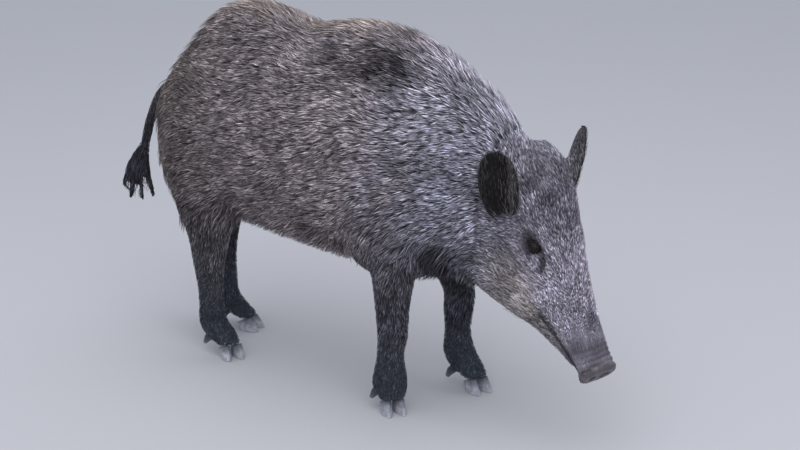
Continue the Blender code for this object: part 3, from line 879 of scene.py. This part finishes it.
def tufted(name, material, path, width, roots, tone, unwrap):
    """One piece of coat: a joined mesh of tufts, with their shade, their hair colour of marks and painted
    shade, and their map.
    """
    count, points_each = path.shape[:2]
    rings = points_each - 1
    around, level, faces = tuft_shape(rings)
    heading = unit(path[:, -1] - path[:, 0])
    across = unit(np.cross(roots.normals, heading))
    upward = np.cross(heading, across)
    # Each tuft is widest a little above its root and narrows to a point.
    profile = np.array([0.75] + [1.0 - 0.5 * (k / rings) ** 2 for k in range(1, rings)] + [0.0])
    size = profile[level] / 2
    verts = path[:, level]
    verts = verts + (width[:, None] * size * around[:, 0])[:, :, None] * across[:, None]
    verts = verts + (width[:, None] * size * around[:, 1] * TUFT_FLATNESS)[:, :, None] * upward[:, None]
    mesh = bpy.data.meshes.new(name)
    total = count * len(level)
    mesh.vertices.add(total)
    mesh.vertices.foreach_set("co", verts.ravel())
    corners = (faces[None] + (np.arange(count) * len(level))[:, None, None]).reshape(-1)
    mesh.loops.add(len(corners))
    mesh.loops.foreach_set("vertex_index", corners.astype(np.int32))
    mesh.polygons.add(len(corners) // 3)
    mesh.polygons.foreach_set("loop_start", np.arange(0, len(corners), 3, dtype=np.int32))
    mesh.update(calc_edges=True)
    mesh.shade_smooth()
    along = np.tile(level / rings, count)
    put(mesh, "strand", np.column_stack((along, np.repeat(tone, len(level)), np.zeros(total))))
    marks_and_shade = np.column_stack((roots.hair, np.ones(count)))
    put(mesh, "hair", np.repeat(marks_and_shade, len(level), axis=0))
    cell = settled(unwrap)
    patch = np.column_stack((0.5 + 0.5 * around[:, 0], level / rings)) * MAP_CELL
    spots = (cell[:, None] + patch[None]).reshape(-1, 2)
    layer = mesh.uv_layers.new(name="OFBake")
    layer.data.foreach_set("uv", spots[corners].ravel())
    mesh.materials.append(material)
    return bpy.data.objects.new(name, mesh)


# ---------------------------------------------------------------- materials

ATTRIBUTE = "ShaderNodeAttribute"
BUMP = "ShaderNodeBump"
MAPPING = "ShaderNodeMapping"
NOISE = "ShaderNodeTexNoise"
RAMP = "ShaderNodeValToRGB"
SPLIT = "ShaderNodeSeparateXYZ"

# How many of a pattern's features lie along a metre, from the size of one in millimetres. Grain, pebbles
# and fibres are drawn coarser than real ones, so that they show.
BRISTLE_GRAIN = 900.0  # 1.1 mm
HIDE_CLOUDS = 28.0  # 36 mm
DISC_PEBBLES = 520.0  # 1.9 mm
DISC_CLOUDS = 70.0  # 14 mm
HORN_RINGS = 95.0  # a ring every 3.3 mm, as 20 times this is its waves' angle in a metre
HORN_FIBRES = 650.0  # 1.5 mm
HORN_CLOUDS = 120.0  # 8.3 mm
HOOF_HEIGHT = 0.040

# The hides under the coat: name, the turn and stretch of the streaks along the hair, how many streaks
# cross a metre, their relief, how rough the hide is and how pale.
UNTURNED = (0.0, 0.0, 0.0)
FACE_TURN = (0.0, radians(HEAD_PITCH), radians(HEAD_YAW))
HIDES = (
    ("body_hide", UNTURNED, (0.12, 1.0, 1.0), 420.0, 0.0016, 0.75, 0.55),
    ("face_hide", FACE_TURN, (0.10, 1.0, 1.0), 620.0, 0.0009, 0.62, 0.75),
    ("leg_hide", UNTURNED, (1.0, 1.0, 0.10), 560.0, 0.0009, 0.66, 0.55),
    ("ear_hide", UNTURNED, (1.0, 1.0, 0.12), 640.0, 0.0006, 0.70, 0.55),
)


def feed(node, inputs):
    """Gives a node's inputs their links or their fixed values."""
    for key, value in inputs.items():
        if isinstance(value, bpy.types.NodeSocket):
            node.id_data.links.new(value, node.inputs[key])
        else:
            node.inputs[key].default_value = value


def add_node(material, kind_of_node, output, inputs, stops=(), **chosen):
    """Adds a node with its settings, inputs and colour stops, and gives one of its outputs."""
    node = material.node_tree.nodes.new(kind_of_node)
    for key, value in chosen.items():
        setattr(node, key, value)
    feed(node, inputs)
    if stops:
        elements = node.color_ramp.elements
        while len(elements) < len(stops):
            elements.new(0.5)
        for element, (spot, shade) in zip(elements, stops):
            element.position = spot
            element.color = (*(linear(shade) if isinstance(shade, str) else (shade,) * 3), 1.0)
    return node.outputs[output]


def fresh(name):
    """A new material, and the function that adds a node to it."""
    material = bpy.data.materials.new(name)
    material.use_nodes = True
    return material, partial(add_node, material)


def finish(material, layers, inputs):
    """Gives the shader its inputs and, as its colour, the product of some layers."""
    colour = layers[0]
    for layer in layers[1:]:
        colour = add_node(material, "ShaderNodeMix", 2, {0: 1.0, 6: colour, 7: layer}, data_type="RGBA",
                          blend_type="MULTIPLY")
    feed(material.node_tree.nodes["Principled BSDF"], {"Base Color": colour, **inputs})
    return material


def coat_material():
    """Boar bristle: near-black at the root, paler in a band below the tip and weathered at its split tip."""
    material, add = fresh("bristle")
    marks_and_shade = add(ATTRIBUTE, "Color", {}, attribute_name="hair")
    strand = add(ATTRIBUTE, "Vector", {}, attribute_name="strand")
    along, tone = (add(SPLIT, axis, {0: strand}) for axis in "XY")
    band = add(RAMP, "Color", {"Fac": along}, ((0.0, 0.18), (0.35, 0.68), (0.72, 1.50), (1.0, 1.25)))
    lock = add(RAMP, "Color", {"Fac": tone}, ((0.0, 0.13), (0.35, 0.50), (0.70, 1.15), (1.0, 2.80)))
    here = add("ShaderNodeTexCoord", "Object", {})
    grain = add(NOISE, "Fac", {"Scale": BRISTLE_GRAIN, "Detail": 2.0, "Vector": here})
    fine = add(RAMP, "Color", {"Fac": grain}, ((0.25, 0.82), (0.75, 1.15)))
    return finish(material, (marks_and_shade, band, lock, fine), {"Roughness": 0.62, "Specular IOR Level": 0.28})


def skin_material(name, turn, stretch, streaks_per_metre, relief, roughness, pale):
    """Hide under short flat hair: fine streaks along its lie, from its own dark roots, pressed flat."""
    material, add = fresh(name)
    marks_and_shade = add(ATTRIBUTE, "Color", {}, attribute_name="hair")
    here = add("ShaderNodeTexCoord", "Object", {})
    turned = add(MAPPING, 0, {"Vector": here, "Rotation": turn}, vector_type="TEXTURE")
    drawn = add(MAPPING, 0, {"Vector": turned, "Scale": stretch})
    hairs = add(NOISE, "Fac", {"Vector": drawn, "Scale": streaks_per_metre, "Detail": 3.0,
                               "Roughness": 0.62})
    clouds = add(NOISE, "Fac", {"Vector": here, "Scale": HIDE_CLOUDS, "Detail": 2.0})
    streaks = add(RAMP, "Color", {"Fac": hairs}, ((0.30, pale * 0.55), (0.55, pale), (0.78, pale * 2.2)))
    broad = add(RAMP, "Color", {"Fac": clouds}, ((0.30, 0.85), (0.70, 1.12)))
    bump = add(BUMP, 0, {"Height": hairs, "Strength": 0.9, "Distance": relief})
    return finish(material, (marks_and_shade, streaks, broad),
                  {"Roughness": roughness, "Specular IOR Level": 0.30, "Normal": bump})


def snout_material():
    """The bare rooting disc: damp dark hide, finely pebbled, with paler scuffs and dried earth in clouds."""
    material, add = fresh("snout_hide")
    here = add("ShaderNodeTexCoord", "Object", {})
    cells = add("ShaderNodeTexVoronoi", "Distance", {"Vector": here, "Scale": DISC_PEBBLES}, feature="F1")
    clouds = add(NOISE, "Fac", {"Vector": here, "Scale": DISC_CLOUDS, "Detail": 5.0, "Roughness": 0.6})
    hollow = add(ATTRIBUTE, "Fac", {}, attribute_name="hollow")
    hide = add(RAMP, "Color", {"Fac": clouds}, ((0.30, "#3a363c"), (0.50, "#5a535a"), (0.68, "#7b7278")))
    pebbles = add(RAMP, "Color", {"Fac": cells}, ((0.0, 1.10), (0.55, 0.72)))
    shaded = add(RAMP, "Color", {"Fac": hollow}, ((0.0, 1.0), (0.6, 0.16), (1.0, 0.08)))
    low = add(BUMP, 0, {"Height": clouds, "Strength": 0.5, "Distance": 0.0012})
    bump = add(BUMP, 0, {"Height": cells, "Strength": 0.55, "Distance": 0.0005, "Normal": low}, invert=True)
    return finish(material, (hide, pebbles, shaded),
                  {"Roughness": 0.42, "Specular IOR Level": 0.45, "Normal": bump})


def horn_material():
    """Hoof horn: grown in fine rings, scratched and dulled by ground, paler towards the ground and dark
    towards the top.
    """
    material, add = fresh("hoof_horn")
    here = add("ShaderNodeTexCoord", "Object", {})
    height = add(SPLIT, "Z", {0: here})
    rings = add("ShaderNodeTexWave", "Fac", {"Vector": here, "Scale": HORN_RINGS, "Distortion": 2.5,
                                             "Detail": 2.0}, bands_direction="Z")
    drawn = add(MAPPING, 0, {"Vector": here, "Scale": (1.0, 1.0, 0.12)})
    fibres = add(NOISE, "Fac", {"Vector": drawn, "Scale": HORN_FIBRES, "Detail": 3.0})
    clouds = add(NOISE, "Fac", {"Vector": here, "Scale": HORN_CLOUDS, "Detail": 4.0})
    tall = add("ShaderNodeMapRange", 0, {"Value": height, "From Max": HOOF_HEIGHT})
    horn = add(RAMP, "Color", {"Fac": tall},
               ((0.0, "#a9a8b0"), (0.32, "#9a9ca6"), (0.68, "#555862"), (1.0, "#1d1f26")))
    worn = add(RAMP, "Color", {"Fac": clouds}, ((0.35, 0.75), (0.70, 1.35)))
    lines = add(RAMP, "Color", {"Fac": fibres}, ((0.30, 0.80), (0.70, 1.20)))
    ringed = add(BUMP, 0, {"Height": rings, "Strength": 0.35, "Distance": 0.0006})
    bump = add(BUMP, 0, {"Height": fibres, "Strength": 0.40, "Distance": 0.0003, "Normal": ringed})
    return finish(material, (horn, worn, lines), {"Roughness": 0.48, "Normal": bump})


def eye_material():
    """A wet dark eye: black pupil, brown iris with fine spokes, a dark ring and a brown-grey white."""
    material, add = fresh("wet_eye")
    gaze = add(ATTRIBUTE, "Vector", {}, attribute_name="gaze")
    off = add(SPLIT, "X", {0: gaze})
    rings = add(RAMP, "Color", {"Fac": off},
                ((0.0, "#030303"), (0.30, "#040303"), (0.36, "#2e1c12"), (0.60, "#2c1c13"), (0.74, "#0c0807"),
                 (0.82, "#15100e"), (1.0, "#221a18")))
    drawn = add(MAPPING, 0, {"Vector": gaze, "Scale": (1.5, 40.0, 40.0)})
    spokes = add(NOISE, "Fac", {"Vector": drawn, "Scale": 1.0, "Detail": 3.0})
    fine = add(RAMP, "Color", {"Fac": spokes}, ((0.3, 0.65), (0.7, 1.45)))
    wet = {"Roughness": 0.10, "Specular IOR Level": 0.18, "Coat Weight": 0.28, "Coat Roughness": 0.02}
    return finish(material, (rings, fine), wet)


# ---------------------------------------------------------------- operators

EYE_GAP = 0.0004
CORNEA_RADIUS = 0.0066
CORNEA_RISE = 0.0011
WHITE_ANGLE = 0.80

LENS = 65.25
CAMERA_SPOT = (1.5961, -2.2072, 1.2)
CAMERA_TURN = (radians(72.2), 0.0, radians(34.0))
# Each light: its name, place, aim, power in watts and width.
LIGHTS = (
    ("sky", (0.5, -0.7, 3.4), (0.0, 0.0, 0.3), 44.0, 3.4),
    ("side", (2.2, -2.5, 2.5), (0.1, 0.0, 0.4), 42.0, 3.6),
)

LENGTH = {"subtype": "DISTANCE", "unit": "LENGTH"}


class BoarSettings(bpy.types.PropertyGroup):
    """Sizes and colours of the looks."""
    seed: bpy.props.IntProperty(name="Seed", description="Start of the coat's random numbers", default=7)
    fullness: bpy.props.FloatProperty(
        name="Fullness", description="Share of the coat's tufts that grow", default=1.0, min=0.05, max=1.3)
    mane_length: bpy.props.FloatProperty(
        name="Mane", description="Length of the bristles along the back", default=0.048, **LENGTH)
    fringe_length: bpy.props.FloatProperty(
        name="Fringe", description="Length of the hair under the belly and behind the thighs", default=0.046,
        **LENGTH)
    ear_length: bpy.props.FloatProperty(
        name="Ear hair", description="Length of the hair on the ears' rims", default=0.017, **LENGTH)
    floor_colour: bpy.props.FloatVectorProperty(
        name="Floor", description="Colour of the studio floor", default=(0.52, 0.52, 0.55), subtype="COLOR",
        min=0.0, max=1.0)


def settings():
    return bpy.context.scene.boar


def grown_piece(name, roots, slot="coat", length=None, wide=1.0, pull=0.65, wound=ROUND_BODY, centre=None,
                **combing):
    """Combs, clumps and joins the tufts of one region of the coat."""
    rng = roots.surface.rng
    if length is None:
        length = of_each_node("length")[roots.node]
    bare = 1 - 0.55 * np.minimum(roots.bare, 1.0)
    long = length * rng.uniform(0.70, 1.25, roots.count)
    width = of_each_node("width")[roots.node] * rng.uniform(0.65, 1.30, roots.count) * wide
    path = combed(roots, long * bare, **combing)
    pale = clumped(path, rng, pull)
    broad = wandering(roots.points, SHADE_CLOUDS)[:, 0]
    # A tuft's shade is mostly its own, partly its lock's and a little that of its place.
    tone = np.clip(0.30 * pale + 0.68 * rng.random(roots.count) + 0.02 + 0.16 * broad, 0.0, 1.0)
    if centre is None:
        centre = roots.points.mean(axis=0)
    unwrap = wound_on(roots.points, centre, wound)
    material = bpy.data.materials.get("bristle") or coat_material()
    link(tufted(name, material, path, width * bare, roots, tone, unwrap), slot)


class BOAR_OT_skin(bpy.types.Operator):
    """Grows the one skin over the flesh"""
    bl_idname = "boar.skin"
    bl_label = "Skin"

    def execute(self, context):
        skin = grown_skin()
        surface = Surface()
        skin.data.materials.clear()
        for hide in HIDES:
            skin.data.materials.append(skin_material(*hide))
        names = [hide[0] for hide in HIDES]
        chosen = np.array([names.index(name) for name in of_each_node("hide")])[surface.face_node]
        skin.data.materials.append(snout_material())
        h = Head.inside(surface.face_spots)
        chosen[(h[:, 0] > DISC_FROM) & (h[:, 2] > CHIN)] = len(HIDES)
        skin.data.polygons.foreach_set("material_index", chosen.astype(np.int32))
        link(skin, "coat", *FLESH)
        return {"FINISHED"}


class BOAR_OT_body_coat(bpy.types.Operator):
    """Grows the coarse coat of the neck, shoulders, flanks and haunches"""
    bl_idname = "boar.body_coat"
    bl_label = "Body coat"

    def execute(self, context):
        surface = Surface(0)
        x, y = surface.points[surface.faces[:, 0], :2].T
        whole = np.ones(len(x))
        bands = {
            "trunk": (("flank", x < SHOULDERS_FROM), ("shoulder", x >= SHOULDERS_FROM)),
            "neck": (("neck", whole),),
            "hindquarters": (("haunch", whole),),
        }
        for node, named in bands.items():
            for side_name, side in SIDES.items():
                for name, band in named:
                    roots = surface.roots(surface.on(node) * (y * side > 0) * band)
                    grown_piece(f"coat_{name}_{side_name}", roots)
        return {"FINISHED"}


class BOAR_OT_face_coat(bpy.types.Operator):
    """Grows the short hair of the face, finer towards the snout and the eyes"""
    bl_idname = "boar.face_coat"
    bl_label = "Face coat"

    def execute(self, context):
        surface = Surface(1)
        h = Head.inside(surface.face_spots)
        bare = surface.bare[surface.faces].mean(axis=1)
        finer = 1 + 0.9 * step(-0.30, -0.20, h[:, 0]) * (1 - bare)
        face = surface.on("head", "lower_jaw", "snout")
        for side_name, side in SIDES.items():
            weight = face * (h[:, 1] * side > 0) * np.clip(1 - bare, 0, 1) * finer
            weight[bare > 0.95] = 0
            roots = surface.roots(weight)
            # The hair is shorter towards the snout and close to the eyes.
            at = Head.inside(roots.points)
            small = 1.0 - 0.45 * step(-0.26, -0.06, at[:, 0])
            small *= np.clip((slit(by_eye(at, side)) + 0.002) / 0.020, 0.15, 1.0)
            length = of_each_node("length")[roots.node] * small
            grown_piece(f"coat_face_{side_name}", roots, length=length, stray=0.14, pull=0.35,
                        wound=ROUND_HEAD, centre=Head.outside((-0.15, 0.0, -0.02)))
        return {"FINISHED"}


class BOAR_OT_leg_coat(bpy.types.Operator):
    """Grows the flat hair of the four legs"""
    bl_idname = "boar.leg_coat"
    bl_label = "Leg coat"

    def execute(self, context):
        surface = Surface(2)
        for foot in FEET:
            roots = surface.roots(surface.on(foot, foot + "_lower"))
            grown_piece(f"coat_{foot}", roots, slot="dark_coat", stray=0.15, pull=0.4, wound=ROUND_LIMB)
        return {"FINISHED"}


class BOAR_OT_ear_coat(bpy.types.Operator):
    """Grows the hair of the ears, long on their rims and loose inside"""
    bl_idname = "boar.ear_coat"
    bl_label = "Ear coat"

    def execute(self, context):
        surface = Surface(3)
        for side_name, side in SIDES.items():
            ear = surface.on(f"ear_{side_name}")
            roots = surface.roots(ear)
            grown_piece(f"coat_ear_{side_name}", roots, stray=0.20, pull=0.4, wound=ROUND_LIMB)
            # Loose pale hairs grow from the front rim across the cup.
            centre = np.array(middle(f"ear_{side_name}"))
            opening = surface.normals[surface.faces[:, 0]] @ ear_facing(side)
            to_front = side * np.cross(ear_facing(side), (0.0, 0.0, 1.0))
            ahead = (surface.points[surface.faces[:, 0]] - centre) @ to_front
            edges = 0.25 + step(0.012, 0.028, ahead) + 0.5 * step(-0.016, -0.030, ahead)
            roots = surface.roots(ear * step(-0.45, 0.0, opening) * edges, density=13.0)
            inwards = step(-0.010, 0.030, (roots.points - centre) @ to_front)[:, None]
            roots.hair = 0.35 * roots.hair + 0.65 * linear(EAR_RIM) * (0.35 + 0.65 * inwards)
            roots.lie = unit(roots.lie - 0.7 * inwards * to_front)
            grown_piece(f"coat_ear_rim_{side_name}", roots, length=settings().ear_length, rings=3,
                        stand=0.003, stray=0.30, wide=0.7, pull=0.3, wound=ROUND_LIMB)
        return {"FINISHED"}


class BOAR_OT_long_coat(bpy.types.Operator):
    """Grows the long bristles of the back, the belly fringe, the jowl ruff and the tail's tuft"""
    bl_idname = "boar.long_coat"
    bl_label = "Long coat"

    def execute(self, context):
        surface = Surface(4)
        p = surface.face_spots
        n = surface.normals[surface.faces].mean(axis=1)
        body = surface.on("trunk", "neck", "hindquarters")
        ridge = body * step(0.050, 0.015, np.abs(p[:, 1])) * step(0.45, 0.85, n[:, 2])
        roots = surface.roots(ridge, density=5.0)
        grown_piece("coat_mane", roots, length=settings().mane_length, rings=3, stand=0.009, stray=0.34,
                    wide=0.70)
        h = Head.inside(p)
        h[:, 1] = np.abs(h[:, 1])
        cheeks = surface.on("head", "lower_jaw", "neck") * soft_spot(h, JOWL, JOWL_RADII)
        roots = surface.roots(cheeks, density=6.0)
        roots.hair = 0.45 * roots.hair + 0.55 * linear(RUFF)
        grown_piece("coat_ruff", roots, length=RUFF_HAIR, rings=3, stand=0.006, stray=0.45, wide=0.6,
                    fall=0.003, wound=ROUND_HEAD, centre=Head.outside((-0.20, 0.0, 0.0)))
        under = body * step(-0.15, -0.75, n[:, 2]) * step(0.40, 0.33, p[:, 2])
        behind = body * step(-0.30, -0.85, n[:, 0]) * step(0.60, 0.45, p[:, 2])
        roots = surface.roots(np.maximum(under, behind), density=3.2)
        grown_piece("coat_fringe", roots, length=settings().fringe_length, rings=3, stand=0.005, stray=0.30,
                    wide=0.75, fall=0.010)
        roots = surface.roots(surface.on("tail", "tail_tuft"))
        grown_piece("coat_tail", roots, slot="dark_coat", rings=3, stray=0.15, wide=0.8, wound=ROUND_LIMB)
        return {"FINISHED"}


class BOAR_OT_eyes(bpy.types.Operator):
    """Shapes the two wet eyeballs behind their lids"""
    bl_idname = "boar.eyes"
    bl_label = "Eyes"

    def execute(self, context):
        material = eye_material()
        for side_name, side in SIDES.items():
            centre, axes = eye_axes(side)
            bm = bmesh.new()
            bmesh.ops.create_uvsphere(bm, u_segments=40, v_segments=36, radius=eye_radius() - EYE_GAP)
            for vert in bm.verts:
                off = Vector((vert.co.x, vert.co.y, 0)).length / CORNEA_RADIUS
                if vert.co.z > 0 and off < 1:
                    vert.co.z += CORNEA_RISE * (1 - off * off) ** 1.5
            local = np.array([vert.co[:] for vert in bm.verts])
            around = unit(local)
            angle = np.arccos(np.clip(around[:, 2], -1, 1))
            for vert, spot in zip(bm.verts, Head.outside(local @ axes + centre)):
                vert.co = spot
            bmesh.ops.recalc_face_normals(bm, faces=bm.faces[:])
            mesh = meshed(bm, f"eyeball_{side_name}", material)
            put(mesh, "gaze", np.column_stack((angle / WHITE_ANGLE, around[:, 0], around[:, 1])))
            link(bpy.data.objects.new(mesh.name, mesh), "eye", f"eye_{side_name}")
        return {"FINISHED"}


def rounded_horn(bm):
    """Rounds a claw's sharp edges."""
    bmesh.ops.dissolve_limit(bm, angle_limit=radians(4), verts=bm.verts[:], edges=bm.edges[:])
    sharp = [edge for edge in bm.edges if edge.calc_face_angle(0.0) > radians(30)]
    bmesh.ops.bevel(bm, geom=sharp, offset=0.0016, offset_type="OFFSET", affect="EDGES", segments=3,
                    profile=0.5, material=-1, clamp_overlap=True)
    bmesh.ops.triangulate(bm, faces=bm.faces[:])


class BOAR_OT_hooves(bpy.types.Operator):
    """Rounds the horn of the hooves and dewclaws"""
    bl_idname = "boar.hooves"
    bl_label = "Hooves"

    def execute(self, context):
        material = horn_material()
        for foot in FEET:
            names = [f"{foot}_{part}_{side}" for part in ("claw", "dewclaw") for side in SIDES]
            mesh = meshed(joined(names, rounded_horn), f"hooves_{foot}", material)
            link(bpy.data.objects.new(mesh.name, mesh), "horn", *names)
        return {"FINISHED"}


class BOAR_OT_stage(bpy.types.Operator):
    """Sets the pale floor, the soft light and the camera"""
    bl_idname = "boar.stage"
    bl_label = "Stage"

    def execute(self, context):
        scene = context.scene
        bm = bmesh.new()
        bmesh.ops.create_grid(bm, x_segments=1, y_segments=1, size=12.0)
        paint = finish(fresh("studio_floor")[0], ((*settings().floor_colour, 1.0),), {"Roughness": 0.9})
        floor = bpy.data.objects.new("floor", meshed(bm, "floor", paint))
        scene.collection.objects.link(floor)
        world = bpy.data.worlds.new("studio")
        world.use_nodes = True
        feed(world.node_tree.nodes["Background"], {"Color": (0.80, 0.84, 0.92, 1.0), "Strength": 0.85})
        scene.world = world
        for name, spot, aim, power, size in LIGHTS:
            light = bpy.data.lights.new(name, "AREA")
            light.energy = power
            light.size = size
            lamp = bpy.data.objects.new(name, light)
            lamp.location = spot
            lamp.rotation_euler = (Vector(aim) - Vector(spot)).to_track_quat("-Z", "Y").to_euler()
            scene.collection.objects.link(lamp)
        data = bpy.data.cameras.new("camera")
        data.lens = LENS
        data.sensor_width = 36.0
        camera = bpy.data.objects.new("camera", data)
        camera.location = CAMERA_SPOT
        camera.rotation_euler = CAMERA_TURN
        scene.collection.objects.link(camera)
        scene.camera = camera
        scene.view_settings.view_transform = "Standard"
        return {"FINISHED"}


OPERATORS = (BOAR_OT_skin, BOAR_OT_body_coat, BOAR_OT_face_coat, BOAR_OT_leg_coat, BOAR_OT_ear_coat,
             BOAR_OT_long_coat, BOAR_OT_eyes, BOAR_OT_hooves, BOAR_OT_stage)


class BOAR_PT_panel(bpy.types.Panel):
    """The boar's pieces, in the order in which they are made"""
    bl_idname = "BOAR_PT_panel"
    bl_label = "Wild boar"
    bl_space_type = "VIEW_3D"
    bl_region_type = "UI"
    bl_category = "Boar"

    def draw(self, context):
        for name in BoarSettings.__annotations__:
            self.layout.prop(context.scene.boar, name)
        for operator in OPERATORS:
            self.layout.operator(operator.bl_idname)


CLASSES = (BoarSettings,) + OPERATORS + (BOAR_PT_panel,)


def register():
    for cls in CLASSES:
        bpy.utils.register_class(cls)
    bpy.types.Scene.boar = bpy.props.PointerProperty(type=BoarSettings)


def unregister():
    del bpy.types.Scene.boar
    for cls in reversed(CLASSES):
        bpy.utils.unregister_class(cls)


def main():
    register()
    for operator in OPERATORS:
        group, name = operator.bl_idname.split(".")
        getattr(getattr(bpy.ops, group), name)()


if __name__ == "__main__":
    main()
